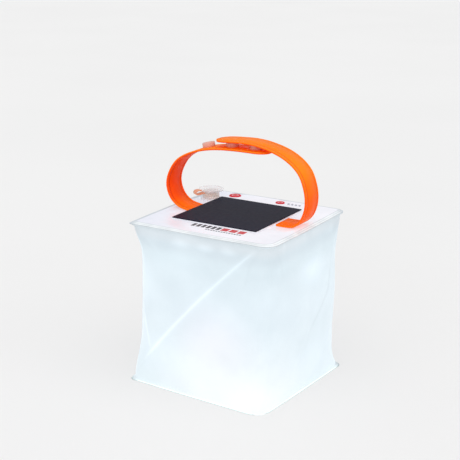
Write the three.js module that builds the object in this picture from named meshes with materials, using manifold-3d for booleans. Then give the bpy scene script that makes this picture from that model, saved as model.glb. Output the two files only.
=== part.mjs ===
// Inflatable solar lantern: a twist-folding film box that hangs its lamp module under a square solar panel,
// with a two-piece snap strap handle and an inflation valve on top.
// Millimetres, +Z up. The origin is the centre of the underside of the bottom sheet. X and Y follow the edges
// of the top sheet. The bottom sheet lags it by a few degrees, because the twist fold isn't fully drawn out.
import * as THREE from "three";
import { mergeVertices } from "three/addons/utils/BufferGeometryUtils.js";
import Module from "manifold-3d";

const wasm = await Module();
wasm.setup();

// ---- Driving dimensions ----
const GAP = 0.3; // clearance between pieces that are bonded or rest on each other
const FILM = 0.6;
const SHEET_HALF = 75; // top and bottom sheets are 150 square, weld rim included
const RIM = 6; // width of the welded rim
const TOP_CORNER = 7;
const BOTTOM_CORNER = 8;
const SEAM_CORNER = 4; // corner radius of the wall where it meets either rim
const FULL_CORNER = 28; // corner radius of the wall half way up, where the air rounds it
const BULGE = 5; // the air pushes each wall out this far
const REST_TWIST = THREE.MathUtils.degToRad(3.35); // bottom sheet lags the top sheet by this angle
const TOP_FACE = 157.5; // upper face of the top sheet

const PANEL_HALF = 44.4;
const PANEL_THICK = 0.7;
const PANEL_CENTRE = new THREE.Vector2(-1.5, -0.5); // the panel sits a little off the sheet's centre
const BEZEL_HALF = 44.5;
const BEZEL_THICK = 1.9;
const BEZEL_CORNER = 1.2;

const STRAP_WIDTH = 25;
const STRAP_THICK = 2;
const TAIL_THICK = 1; // the straps' tails run flat under the bezel
const TAIL_REACH = { inner: 16, outer: 48 }; // from the centre of the sheet, on both sides
const RIGHT_START = 45.5; // the right strap rises here, just beside the bezel
const SNAP_RADIUS = 6;
const SNAP_HEIGHT = 4.25;
const SOCKET_DEPTH = 2.8;
const SOCKET_MOUTH = 3.3;
const SOCKET_SEAT = 1.9;
const STUD_DEPTH = 2;
const STUD_HEAD = 2.5;
const STUD_TIP = 1.2;
const SNAP_PLACES = [-33.5, -8.5, 16.5]; // sockets along the lower strap
const STRAP_JOINT = { left: 182, right: 183 }; // height where each strap flexes
const STRAP_SLIT = 0.25; // half the gap between a strap's root and its arm

const VALVE = new THREE.Vector2(-57, 42);
const VALVE_RING_RADIUS = 10.6;
const VALVE_RING_HEIGHT = 1.4;
const STEM_RADIUS = 8;
const STEM_BORE = 6;
const CAP_RADIUS = 12.2;
const CAP_HINGE_REACH = 15.5; // from the valve's axis to the cap's hinge line
const CAP_TURN = THREE.MathUtils.degToRad(-30); // the hinge faces -Y and is turned by this about the valve

const BUTTON_ROW = 62; // Y of the buttons and indicators
const POWER_X = -41;
const POWER_RADIUS = 6;
const CHECK_X = 10;
const CHECK_RADIUS = 4.5;
const BUTTON_CLEARANCE = 0.4;
const INDICATORS_X = [19.5, 23.5, 27.5, 31.5];
const INDICATOR_RADIUS = 1.1;

const TRAY_HALF = 40;
const TRAY_WALL = 1.6;

// ---- Materials ----
const paint = (hex, roughness, metalness = 0, opacity = 1) =>
  new THREE.MeshStandardMaterial({ color: hex, roughness, metalness, opacity, transparent: opacity < 1 });
const MATERIALS = {
  frostedFilm: paint(0xe4f2f8, 0.45, 0, 0.85),
  printedFilm: paint(0xf1f1f6, 0.4),
  solarGlass: paint(0x25252d, 0.35),
  whitePlastic: paint(0xf0f0f2, 0.45),
  clearPlastic: paint(0xe6ebee, 0.1, 0, 0.4),
  orangeSilicone: paint(0xf9681c, 0.5),
  redPrint: paint(0xd0323f, 0.4),
  greyLens: paint(0x9aa0aa, 0.3),
  boardGreen: paint(0x1d5b3a, 0.5),
  ledWhite: paint(0xfbfdff, 0.3),
  foilSilver: paint(0xb9bcc2, 0.3, 0.9),
  blackPlastic: paint(0x1b1b1e, 0.5),
  copperFilm: paint(0xb5763a, 0.4),
};

// ---- Solid helpers ----
function solidOf(geometry) {
  const bare = geometry.index ? geometry.toNonIndexed() : geometry.clone();
  bare.deleteAttribute("normal");
  bare.deleteAttribute("uv");
  const merged = mergeVertices(bare, 1e-4);
  return new wasm.Manifold(
    new wasm.Mesh({
      numProp: 3,
      vertProperties: merged.attributes.position.array,
      triVerts: new Uint32Array(merged.index.array),
    }),
  );
}

function geometryOf(solid) {
  const mesh = solid.getMesh();
  const geometry = new THREE.BufferGeometry();
  geometry.setAttribute("position", new THREE.BufferAttribute(new Float32Array(mesh.vertProperties), 3));
  geometry.setIndex(new THREE.BufferAttribute(new Uint32Array(mesh.triVerts), 1));
  geometry.computeVertexNormals();
  return geometry;
}

const cut = (body, ...tools) =>
  geometryOf(tools.reduce((left, tool) => left.subtract(solidOf(tool)), solidOf(body)));
const join = (...bodies) => geometryOf(bodies.map(solidOf).reduce((a, b) => a.add(b)));
const common = (a, b) => geometryOf(solidOf(a).intersect(solidOf(b)));

// ---- Shape helpers ----
function roundedRectangle(halfX, halfY, radius, path = new THREE.Shape()) {
  const x = halfX - radius;
  const y = halfY - radius;
  path.absarc(x, y, radius, 0, Math.PI / 2);
  path.absarc(-x, y, radius, Math.PI / 2, Math.PI);
  path.absarc(-x, -y, radius, Math.PI, 1.5 * Math.PI);
  path.absarc(x, -y, radius, 1.5 * Math.PI, 2 * Math.PI);
  return path;
}

function circle(x, y, radius, path = new THREE.Path()) {
  path.absarc(x, y, radius, 0, 2 * Math.PI);
  return path;
}

function plate(shape, low, high, curveSegments = 8) {
  const settings = { depth: high - low, bevelEnabled: false, curveSegments };
  return new THREE.ExtrudeGeometry(shape, settings).translate(0, 0, low);
}

function box(sizeX, sizeY, low, high, x = 0, y = 0) {
  return new THREE.BoxGeometry(sizeX, sizeY, high - low).translate(x, y, (low + high) / 2);
}

// A solid of revolution about a vertical axis. The profile is [radius, height] pairs, outer side going up.
function turned(profile, x, y, segments = 32) {
  const points = profile.map(([radius, height]) => new THREE.Vector2(radius, height));
  return new THREE.LatheGeometry(points, segments).rotateX(Math.PI / 2).translate(x, y, 0);
}

// A closed body through a cyclic list of rings that all have the same number of points.
function ringBody(rings) {
  const count = rings[0].length;
  const positions = rings.flat().flatMap((p) => [p.x, p.y, p.z]);
  const index = [];
  rings.forEach((_, r) => {
    const next = (r + 1) % rings.length;
    for (let i = 0; i < count; i++) {
      const j = (i + 1) % count;
      const [a, b, c, d] = [r * count + i, r * count + j, next * count + j, next * count + i];
      index.push(a, b, c, a, c, d);
    }
  });
  const geometry = new THREE.BufferGeometry();
  geometry.setAttribute("position", new THREE.Float32BufferAttribute(positions, 3));
  geometry.setIndex(index);
  geometry.computeVertexNormals();
  return geometry;
}

// ---- The film box ----
const RING_SIDE_POINTS = 4;
const RING_CORNER_POINTS = 7;

// One horizontal ring of the wall: a square of the given half size with rounded corners, turned with height.
function wallRing(half, radius, z) {
  const turn = -REST_TWIST * (1 - z / TOP_FACE);
  const ring = [];
  for (let corner = 0; corner < 4; corner++) {
    const middle = Math.PI / 4 + (corner * Math.PI) / 2;
    const centre = (half - radius) * Math.SQRT2;
    for (let i = 0; i < RING_CORNER_POINTS; i++) {
      const angle = middle + (i / (RING_CORNER_POINTS - 1) - 0.5) * (Math.PI / 2);
      ring.push(
        new THREE.Vector3(
          centre * Math.cos(middle) + radius * Math.cos(angle),
          centre * Math.sin(middle) + radius * Math.sin(angle),
          z,
        ),
      );
    }
    const from = ring[ring.length - 1];
    const side = middle + Math.PI / 4;
    const length = 2 * (half - radius);
    for (let i = 1; i < RING_SIDE_POINTS; i++) {
      const along = (length * i) / RING_SIDE_POINTS;
      ring.push(
        new THREE.Vector3(from.x - along * Math.sin(side), from.y + along * Math.cos(side), z),
      );
    }
  }
  return ring.map((p) => p.applyAxisAngle(new THREE.Vector3(0, 0, 1), turn));
}

// Half size and corner radius of the blown-up wall by height: tight at the two seams, full and round between.
const SEAM_HALF = SHEET_HALF - RIM;
const WALL_LOW = FILM + GAP;
const WALL_HIGH = TOP_FACE - FILM - GAP;
function wallSection(z) {
  const share = (z - WALL_LOW) / (WALL_HIGH - WALL_LOW);
  const fullness = Math.sqrt(Math.sin(Math.PI * share));
  const radius = THREE.MathUtils.lerp(SEAM_CORNER, FULL_CORNER, fullness);
  return { half: SEAM_HALF + BULGE * fullness, radius };
}

function sideWall() {
  const bottomUp = [FILM, 3, 7, 14, 28, 50, 75, 100, 124, 138, 147, 152].map((h) => WALL_LOW + h);
  const outer = bottomUp.map((z) => {
    const { half, radius } = wallSection(z);
    return wallRing(half, radius, z);
  });
  outer.push(wallRing(SEAM_HALF, SEAM_CORNER, WALL_HIGH - FILM));
  const inner = [WALL_LOW, ...bottomUp.slice(1), WALL_HIGH].map((z) => {
    const { half, radius } = wallSection(THREE.MathUtils.clamp(z, WALL_LOW, WALL_HIGH));
    return wallRing(half - FILM, radius - FILM, z);
  });
  const bottomRim = [WALL_LOW, WALL_LOW + FILM].map((z) => wallRing(SHEET_HALF, BOTTOM_CORNER, z));
  const topRim = [WALL_HIGH - FILM, WALL_HIGH].map((z) => wallRing(SHEET_HALF, TOP_CORNER, z));
  return ringBody([...bottomRim, ...outer, ...topRim, ...inner.reverse()]);
}

function topSheet() {
  const shape = roundedRectangle(SHEET_HALF, SHEET_HALF, TOP_CORNER);
  shape.holes.push(circle(VALVE.x, VALVE.y, STEM_RADIUS + 0.6));
  shape.holes.push(circle(POWER_X, BUTTON_ROW, POWER_RADIUS + BUTTON_CLEARANCE));
  shape.holes.push(circle(CHECK_X, BUTTON_ROW, CHECK_RADIUS + BUTTON_CLEARANCE));
  INDICATORS_X.forEach((x) => shape.holes.push(circle(x, BUTTON_ROW, INDICATOR_RADIUS + GAP)));
  return plate(shape, TOP_FACE - FILM, TOP_FACE);
}

function bottomSheet() {
  const shape = roundedRectangle(SHEET_HALF, SHEET_HALF, BOTTOM_CORNER);
  return plate(shape, 0, FILM).rotateZ(-REST_TWIST);
}

// ---- Solar panel and its bezel ----
const BEZEL_LOW = TOP_FACE + GAP;
const BEZEL_TOP = BEZEL_LOW + BEZEL_THICK;

function bezel() {
  const tray = plate(roundedRectangle(BEZEL_HALF, BEZEL_HALF, BEZEL_CORNER), BEZEL_LOW, BEZEL_TOP, 4);
  const channelLength = TAIL_REACH.outer - TAIL_REACH.inner;
  const channels = [-1, 1].map((side) =>
    box(
      channelLength,
      STRAP_WIDTH + 2 * GAP,
      BEZEL_LOW - 1,
      BEZEL_LOW + TAIL_THICK + GAP,
      side * (TAIL_REACH.inner + channelLength / 2),
    ),
  );
  return cut(tray.translate(PANEL_CENTRE.x, PANEL_CENTRE.y, 0), ...channels);
}

function solarPanel() {
  const low = BEZEL_TOP + GAP;
  return box(2 * PANEL_HALF, 2 * PANEL_HALF, low, low + PANEL_THICK, PANEL_CENTRE.x, PANEL_CENTRE.y);
}

// ---- Strap handle ----
const STRAP_BOTTOM = TOP_FACE + GAP;
const STRAP_MIDDLE = STRAP_BOTTOM + STRAP_THICK / 2 + 0.1;

// Centre lines in the XZ plane, from the bezel's edge to the free end.
const LEFT_LINE = [
  [PANEL_CENTRE.x - BEZEL_HALF - GAP, STRAP_MIDDLE],
  [-51, STRAP_MIDDLE + 0.2],
  [-61, 161.7],
  [-69.5, 169],
  [-73.5, 181],
  [-70.5, 194],
  [-61, 207],
  [-44, 216],
  [-24, 221],
  [0, 222.8],
  [33, 222.8],
];
const RIGHT_LINE = [
  [RIGHT_START, STRAP_MIDDLE],
  [58, STRAP_MIDDLE + 0.2],
  [64.5, 160.9],
  [71, 168],
  [74.6, 180],
  [73.4, 194],
  [67, 209],
  [54, 220],
  [36, 227],
  [12, 230.5],
  [-27, 228.4],
];
const RIBBON_STEPS = 30;

function ribbon(line) {
  const curve = new THREE.SplineCurve(line.map(([x, z]) => new THREE.Vector2(x, z)));
  const above = [];
  const below = [];
  for (let i = 0; i <= RIBBON_STEPS; i++) {
    const middle = curve.getPointAt(i / RIBBON_STEPS);
    const tangent = curve.getTangentAt(i / RIBBON_STEPS);
    const normal = new THREE.Vector2(-tangent.y, tangent.x).multiplyScalar(STRAP_THICK / 2);
    above.push(middle.clone().add(normal));
    below.unshift(middle.clone().sub(normal));
  }
  const outline = new THREE.Shape([...above, ...below]);
  const geometry = new THREE.ExtrudeGeometry(outline, { depth: STRAP_WIDTH, bevelEnabled: false });
  return geometry.rotateX(Math.PI / 2).translate(0, STRAP_WIDTH / 2, 0);
}

// The plan outline of a strap arm: straight sides and a round free end that points along the given side.
function roundEnded(endX, side) {
  const half = STRAP_WIDTH / 2;
  const centre = endX - side * half;
  const far = -side * 2 * SHEET_HALF;
  const shape = new THREE.Shape();
  shape.moveTo(far, -half);
  shape.lineTo(centre, -half);
  shape.absarc(centre, 0, half, -Math.PI / 2, Math.PI / 2, side < 0);
  shape.lineTo(far, half);
  return plate(shape, TOP_FACE, 240, 12);
}

function strapRoot(line, jointHeight, side) {
  const lower = box(200, 60, TOP_FACE, jointHeight - STRAP_SLIT);
  const tailStart = TAIL_REACH.inner + GAP;
  const tail = box(
    TAIL_REACH.outer - tailStart,
    STRAP_WIDTH,
    STRAP_BOTTOM,
    STRAP_BOTTOM + TAIL_THICK,
    (side * (TAIL_REACH.outer + tailStart)) / 2,
  );
  return join(common(ribbon(line), lower), tail);
}

function strapArm(line, jointHeight, side) {
  const upper = box(200, 60, jointHeight + STRAP_SLIT, 240);
  const endX = line[line.length - 1][0];
  return common(common(ribbon(line), upper), roundEnded(endX, side));
}

// Height of a strap's centre line over a place on the X axis, taken where the strap runs across the top.
function heightOver(line, x) {
  const curve = new THREE.SplineCurve(line.map(([px, pz]) => new THREE.Vector2(px, pz)));
  const points = curve.getPoints(400).filter((p) => p.y > 200);
  return points.reduce((best, p) => (Math.abs(p.x - x) < Math.abs(best.x - x) ? p : best)).y;
}

// Places a snap half on a strap, leaning as the strap leans there. Its heights count from the centre line.
function snapHalf(line, x, profile) {
  const reach = 3;
  const rise = heightOver(line, x + reach) - heightOver(line, x - reach);
  const half = turned(profile, 0, 0, 28);
  return half.rotateY(-Math.atan(rise / (2 * reach))).translate(x, 0, heightOver(line, x));
}

const SNAP_FOOT = STRAP_THICK / 2 + GAP;

function snapSocket(x) {
  const top = SNAP_FOOT + SNAP_HEIGHT;
  const floor = top - SOCKET_DEPTH;
  const wall = [[0, SNAP_FOOT], [SNAP_RADIUS, SNAP_FOOT], [SNAP_RADIUS, top - 0.5]];
  const mouth = [[SNAP_RADIUS - 0.5, top], [SOCKET_MOUTH, top], [SOCKET_SEAT, floor], [0, floor]];
  return snapHalf(LEFT_LINE, x, [...wall, ...mouth]);
}

function snapStud(x) {
  const tip = -SNAP_FOOT - STUD_DEPTH;
  return snapHalf(RIGHT_LINE, x, [[0, tip], [STUD_TIP, tip], [STUD_HEAD, -SNAP_FOOT], [0, -SNAP_FOOT]]);
}

// ---- Valve ----
const STEM_LOW = 152;
const STEM_HIGH = 165.7;
const STEM_LIP = 8.2; // rim round the mouth of the stem
const STEM_FLANGE = 9.4; // keeps the stem from pulling out of the sheet
const SHEET_HOLE = 8.6;

function valveBase() {
  const low = TOP_FACE + GAP;
  const high = low + VALVE_RING_HEIGHT;
  const side = [[VALVE_RING_RADIUS, low], [VALVE_RING_RADIUS - 0.2, high - 0.6], [SHEET_HOLE + 1, high]];
  const ring = [[SHEET_HOLE, low], ...side, [SHEET_HOLE, high]];
  return turned([...ring, ring[0]], VALVE.x, VALVE.y, 36);
}

function valveStem() {
  const stem = [
    [STEM_BORE, STEM_LOW],
    [STEM_FLANGE, STEM_LOW],
    [STEM_FLANGE, STEM_LOW + 1.2],
    [STEM_RADIUS, STEM_LOW + 1.6],
    [STEM_RADIUS, STEM_HIGH - 1.3],
    [STEM_LIP, STEM_HIGH - 1],
    [STEM_LIP, STEM_HIGH],
    [STEM_BORE, STEM_HIGH],
  ];
  return turned([...stem, stem[0]], VALVE.x, VALVE.y, 36);
}

function valveFlap() {
  const high = STEM_LOW - GAP;
  return turned([[0, high - 0.8], [7, high - 0.8], [7, high], [0, high]], VALVE.x, VALVE.y);
}

// Turns a piece made round the vertical axis with its hinge on the -Y side, and places it on the valve.
const onValve = (geometry) => geometry.rotateZ(CAP_TURN).translate(VALVE.x, VALVE.y, 0);
const TETHER_WIDTH = 6;

// Short strap of the cap, from the stem to the cap's hinge line.
function valveTether() {
  const inner = STEM_LIP + GAP;
  const length = CAP_HINGE_REACH - inner;
  return onValve(box(TETHER_WIDTH, length, STEM_HIGH - 1.6, STEM_HIGH - 0.2, 0, -inner - length / 2));
}

const PLUG_RADIUS = 5.5;
const PLUG_TIP = 4.6;
const PLUG_DEPTH = 2.6;
const EAR_LENGTH = 4.5; // overlaps the cap's edge

function valveCap() {
  const low = STEM_HIGH + GAP;
  const disc = [[CAP_RADIUS - 0.4, low], [CAP_RADIUS, low + 0.5], [CAP_RADIUS, low + 1.5]];
  const crown = [[CAP_RADIUS - 0.6, low + 2], [0, low + 2.3]];
  const plug = [[0, low - PLUG_DEPTH], [PLUG_TIP, low - PLUG_DEPTH], [PLUG_RADIUS, low - 0.4], [PLUG_RADIUS, low]];
  const cap = turned([...plug, ...disc, ...crown], 0, 0, 36);
  const ear = box(TETHER_WIDTH, EAR_LENGTH, low, low + 1.4, 0, EAR_LENGTH / 2 - CAP_HINGE_REACH);
  return onValve(join(cap, ear));
}

// ---- Lamp module under the top sheet ----
const TRAY_TOP = TOP_FACE - FILM - 4 * GAP;
const TRAY_LOW = 142.9;
const TRAY_FLANGE = 6;
const LENS_LOW = 141;
const LENS_THICK = 1.6;
const BOARD_HALF = 37;
const BOARD_LOW = 147.2;
const BOARD_TOP = 148.8;
const BOARD_LEDGE = 35.6; // the tray's ledge reaches in to here under the board
const ON_BOARD = BOARD_TOP + GAP;
const RIBBON_LOW = 153.2;
const RIBBON_THICK = 0.4;
const CABLE_WIDTH = 8;

function squareRing(outerHalf, innerHalf, low, high) {
  const shape = roundedRectangle(outerHalf, outerHalf, 4);
  shape.holes.push(roundedRectangle(innerHalf, innerHalf, 3, new THREE.Path()));
  return plate(shape, low, high, 4);
}

function bondRing() {
  return squareRing(TRAY_HALF + TRAY_FLANGE - 0.5, TRAY_HALF, TRAY_TOP + GAP, TRAY_TOP + 3 * GAP);
}

function housingTray() {
  const inside = TRAY_HALF - TRAY_WALL;
  const walls = squareRing(TRAY_HALF, inside, TRAY_LOW, TRAY_TOP);
  const flange = squareRing(TRAY_HALF + TRAY_FLANGE, inside, TRAY_TOP - 1, TRAY_TOP);
  const ledge = squareRing(inside + 0.4, BOARD_LEDGE, BOARD_LOW - GAP - 1.2, BOARD_LOW - GAP);
  const window = box(CABLE_WIDTH + 1, 6, RIBBON_LOW - GAP, RIBBON_LOW + RIBBON_THICK + GAP, 0, TRAY_HALF);
  return cut(join(walls, flange, ledge), window);
}

function housingLens() {
  const cover = plate(roundedRectangle(TRAY_HALF, TRAY_HALF, 4), LENS_LOW, LENS_LOW + LENS_THICK, 4);
  const outer = TRAY_HALF - TRAY_WALL - GAP;
  return join(cover, squareRing(outer, outer - 1, LENS_LOW + 1, LENS_LOW + 4));
}

function circuitBoard() {
  return plate(roundedRectangle(BOARD_HALF, BOARD_HALF, 2), BOARD_LOW, BOARD_TOP, 3);
}

function batteryCell() {
  return plate(roundedRectangle(27, 19, 3), ON_BOARD + 1.1, ON_BOARD + 6.1).translate(-6, 4, 0);
}

function chargeCoil() {
  return turned([[0, ON_BOARD], [4, ON_BOARD], [4, ON_BOARD + 3.2], [0, ON_BOARD + 3.2]], 12, -27, 20);
}

const LED_SIZE = 3.6;
const LED_EDGE = 33; // the lamps stand in rows this far from the middle
const LED_PLACES = [
  ...[-24, 0, 24].flatMap((x) => [[x, -LED_EDGE], [x, LED_EDGE]]),
  ...[-12, 12].flatMap((y) => [[-LED_EDGE, y], [LED_EDGE, y]]),
];

// ---- Button strip under the top sheet ----
const STRIP = { halfX: 43, halfY: 5.9, x: -7, low: 150.2, high: 156, wall: 1 };
const STRIP_BOARD_TOP = 152.5;
const SWITCH_HIGH = 154.5;
const BUTTON_LOW = 155.3; // the switches click when a button has gone down half a millimetre
const BUTTON_COLLAR = 0.8;
const BUTTON_TOP = TOP_FACE + 1.4; // the keys and lenses reach through the slightly domed film

function stripTray() {
  const { halfX, halfY, x, low, high, wall } = STRIP;
  const outer = box(2 * halfX, 2 * halfY, low, high, x, BUTTON_ROW);
  const hollow = box(2 * (halfX - wall), 2 * (halfY - wall), low + wall, high + 1, x, BUTTON_ROW);
  const notch = box(CABLE_WIDTH + 1, 3, RIBBON_LOW - GAP, high + 1, 0, BUTTON_ROW - halfY);
  return cut(outer, hollow, notch);
}

// A round key with a wider collar under the sheet; the collar is trimmed to drop between the strip's walls.
function button(x, radius) {
  const collarTop = BUTTON_LOW + 1.1;
  const lower = [[0, BUTTON_LOW], [radius + BUTTON_COLLAR, BUTTON_LOW], [radius + BUTTON_COLLAR, collarTop]];
  const side = [[radius, collarTop], [radius, BUTTON_TOP - 0.3]];
  const crown = [[radius - 0.4, BUTTON_TOP], [0, BUTTON_TOP + 0.2]];
  const key = turned([...lower, ...side, ...crown], x, BUTTON_ROW, 40);
  const trimHalf = STRIP.halfY - STRIP.wall - GAP;
  const reach = 6;
  const trims = [-1, 1].map((side) =>
    box(30, reach, BUTTON_LOW - 1, TOP_FACE - FILM - 0.2, x, BUTTON_ROW + side * (trimHalf + reach / 2)),
  );
  return cut(key, ...trims);
}

function indicator(x) {
  const foot = STRIP_BOARD_TOP + GAP;
  const head = TOP_FACE + 1.2;
  const profile = [[0, foot], [INDICATOR_RADIUS, foot], [INDICATOR_RADIUS, head], [0, head + 0.2]];
  return turned(profile, x, BUTTON_ROW, 16);
}

// ---- Assembly ----
const lantern = new THREE.Group();
function add(name, geometry, material) {
  const mesh = new THREE.Mesh(geometry, MATERIALS[material]);
  mesh.name = name;
  lantern.add(mesh);
}

add("bottom_sheet", bottomSheet(), "frostedFilm");
add("side_wall", sideWall(), "frostedFilm");
add("top_sheet", topSheet(), "printedFilm");

add("panel_bezel", bezel(), "whitePlastic");
add("solar_panel", solarPanel(), "solarGlass");

add("strap_left_root", strapRoot(LEFT_LINE, STRAP_JOINT.left, -1), "orangeSilicone");
add("strap_left", strapArm(LEFT_LINE, STRAP_JOINT.left, 1), "orangeSilicone");
add("strap_right_root", strapRoot(RIGHT_LINE, STRAP_JOINT.right, 1), "orangeSilicone");
add("strap_right", strapArm(RIGHT_LINE, STRAP_JOINT.right, -1), "orangeSilicone");
SNAP_PLACES.forEach((x, i) => add(`snap_socket_${i + 1}`, snapSocket(x), "clearPlastic"));
SNAP_PLACES.slice(1).forEach((x, i) => add(`snap_stud_${i + 1}`, snapStud(x), "clearPlastic"));

add("valve_base", valveBase(), "clearPlastic");
add("valve_stem", valveStem(), "clearPlastic");
add("valve_flap", valveFlap(), "clearPlastic");
add("valve_tether", valveTether(), "clearPlastic");
add("valve_cap", valveCap(), "clearPlastic");

add("tray_bond_ring", bondRing(), "blackPlastic");
add("housing_tray", housingTray(), "whitePlastic");
add("housing_lens", housingLens(), "clearPlastic");
add("circuit_board", circuitBoard(), "boardGreen");
add("battery_pad", box(46, 30, ON_BOARD, ON_BOARD + 0.8, -6, 4), "blackPlastic");
add("battery_cell", batteryCell(), "foilSilver");
add("charge_chip", box(7, 7, ON_BOARD, ON_BOARD + 1.4, 26, -27), "blackPlastic");
add("charge_coil", chargeCoil(), "blackPlastic");
LED_PLACES.forEach(([x, y], i) => {
  add(`led_${i + 1}`, box(LED_SIZE, LED_SIZE, BOARD_LOW - GAP - 1.2, BOARD_LOW - GAP, x, y), "ledWhite");
});

add("strip_tray", stripTray(), "whitePlastic");
add("strip_board", box(82, 8, STRIP_BOARD_TOP - 1, STRIP_BOARD_TOP, STRIP.x, BUTTON_ROW), "boardGreen");
add("power_switch", box(6, 6, STRIP_BOARD_TOP + GAP, SWITCH_HIGH, POWER_X, BUTTON_ROW), "blackPlastic");
add("check_switch", box(6, 6, STRIP_BOARD_TOP + GAP, SWITCH_HIGH, CHECK_X, BUTTON_ROW), "blackPlastic");
add("power_button", button(POWER_X, POWER_RADIUS), "redPrint");
add("check_button", button(CHECK_X, CHECK_RADIUS), "redPrint");
INDICATORS_X.forEach((x, i) => add(`indicator_${i + 1}`, indicator(x), "greyLens"));
add("ribbon_socket", box(10, 5, ON_BOARD, RIBBON_LOW - GAP, 0, 33.5), "blackPlastic");
add("ribbon_cable", box(CABLE_WIDTH, 27, RIBBON_LOW, RIBBON_LOW + RIBBON_THICK, 0, 45.5), "copperFilm");

export default lantern;
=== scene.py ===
import math

import bmesh
import bpy
from mathutils import Matrix, Vector, noise


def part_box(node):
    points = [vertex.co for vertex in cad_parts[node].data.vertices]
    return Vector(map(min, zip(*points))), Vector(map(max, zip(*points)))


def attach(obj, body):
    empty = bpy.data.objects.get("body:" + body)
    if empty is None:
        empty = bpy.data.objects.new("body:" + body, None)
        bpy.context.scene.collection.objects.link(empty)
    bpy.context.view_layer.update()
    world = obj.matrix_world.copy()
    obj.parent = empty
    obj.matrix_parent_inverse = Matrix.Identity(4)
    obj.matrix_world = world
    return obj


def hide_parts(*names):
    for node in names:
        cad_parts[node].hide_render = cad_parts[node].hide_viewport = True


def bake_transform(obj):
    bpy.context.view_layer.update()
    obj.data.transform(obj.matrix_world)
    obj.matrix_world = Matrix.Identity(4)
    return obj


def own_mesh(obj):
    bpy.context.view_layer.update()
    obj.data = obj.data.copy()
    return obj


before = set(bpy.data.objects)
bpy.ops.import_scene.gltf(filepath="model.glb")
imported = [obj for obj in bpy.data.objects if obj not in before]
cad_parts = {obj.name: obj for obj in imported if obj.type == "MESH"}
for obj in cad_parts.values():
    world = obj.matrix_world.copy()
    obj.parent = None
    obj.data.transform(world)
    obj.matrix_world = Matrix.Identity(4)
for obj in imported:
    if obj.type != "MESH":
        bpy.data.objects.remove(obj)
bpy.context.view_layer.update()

MM = 0.001
# The film cube: how far it stays twisted when blown up, its top face, half a sheet's width, the thickness of
# a sheet and of the sleeve, the welded rim, and the ends of the walls. All lengths are in millimetres unless
# a comment says otherwise.
REST_TWIST = math.radians(3.353)
TOP_FACE = 157.5
SHEET_HALF = 75.0
SHEET_THICK = 0.6
SLEEVE_THICK = 0.3
RIM_WIDTH = 4.5
WALL_LOW, WALL_HIGH = (v.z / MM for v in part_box("side_wall"))
LATHE_SEGMENTS = 64


# ---------------------------------------------------------------- small helpers
def smooth(low, high, value):
    """0 below low, 1 above high, with an eased step between them. The two may be given in either order."""
    t = min(max((value - low) / (high - low), 0.0), 1.0)
    return t * t * (3 - 2 * t)


def bump(value, centre, width):
    """1 at the centre, falling to 0 beyond the width."""
    return math.exp(-(((value - centre) / width) ** 2))


def noise_at(x, y, z, size):
    """Soft noise of about -0.7 to 0.7 whose patches have the given size."""
    return noise.noise(Vector((x / size, y / size, z / size)))


def mesh_object(name, points, faces, material, body):
    """An object from points in millimetres. It rides on the body and is shaded smooth."""
    mesh = bpy.data.meshes.new(name)
    mesh.from_pydata([Vector(p) * MM for p in points], [], faces)
    mesh.validate()
    work = bmesh.new()
    work.from_mesh(mesh)
    bmesh.ops.remove_doubles(work, verts=work.verts, dist=1e-6)
    bmesh.ops.recalc_face_normals(work, faces=work.faces)
    work.to_mesh(mesh)
    work.free()
    for face in mesh.polygons:
        face.use_smooth = True
    mesh.materials.append(material)
    obj = bpy.data.objects.new(name, mesh)
    bpy.context.scene.collection.objects.link(obj)
    if body:
        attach(obj, body)
    return obj


def loft(rings, closed=True, cap=False):
    """Faces of a skin through rings with equal point counts."""
    n = len(rings[0])
    points = [p for ring in rings for p in ring]
    faces = []
    for r in range(len(rings) - 1):
        for i in range(n if closed else n - 1):
            j = (i + 1) % n
            faces.append((r * n + i, r * n + j, (r + 1) * n + j, (r + 1) * n + i))
    if cap:
        faces.append(tuple(reversed(range(n))))
        faces.append(tuple(range((len(rings) - 1) * n, len(rings) * n)))
    return points, faces


def lathe(name, profile, place, material, body):
    """A solid of revolution from (radius, height) pairs in millimetres. Place moves each of its points."""
    rings = []
    for radius, height in profile:
        ring = []
        for i in range(LATHE_SEGMENTS):
            a = 2 * math.pi * i / LATHE_SEGMENTS
            ring.append(Vector((max(radius, 0.001) * math.cos(a), max(radius, 0.001) * math.sin(a), height)))
        rings.append(ring)
    points, faces = loft(rings, cap=profile[0] != profile[-1])
    return mesh_object(name, [place(p) for p in points], faces, material, body)


def soften(obj, width):
    """Rounds an object's sharp edges by a width in millimetres."""
    mod = obj.modifiers.new("edges", "BEVEL")
    mod.width = width * MM
    mod.segments = 3
    mod.limit_method = "ANGLE"
    mod.angle_limit = math.radians(35)
    mod.harden_normals = False


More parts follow.
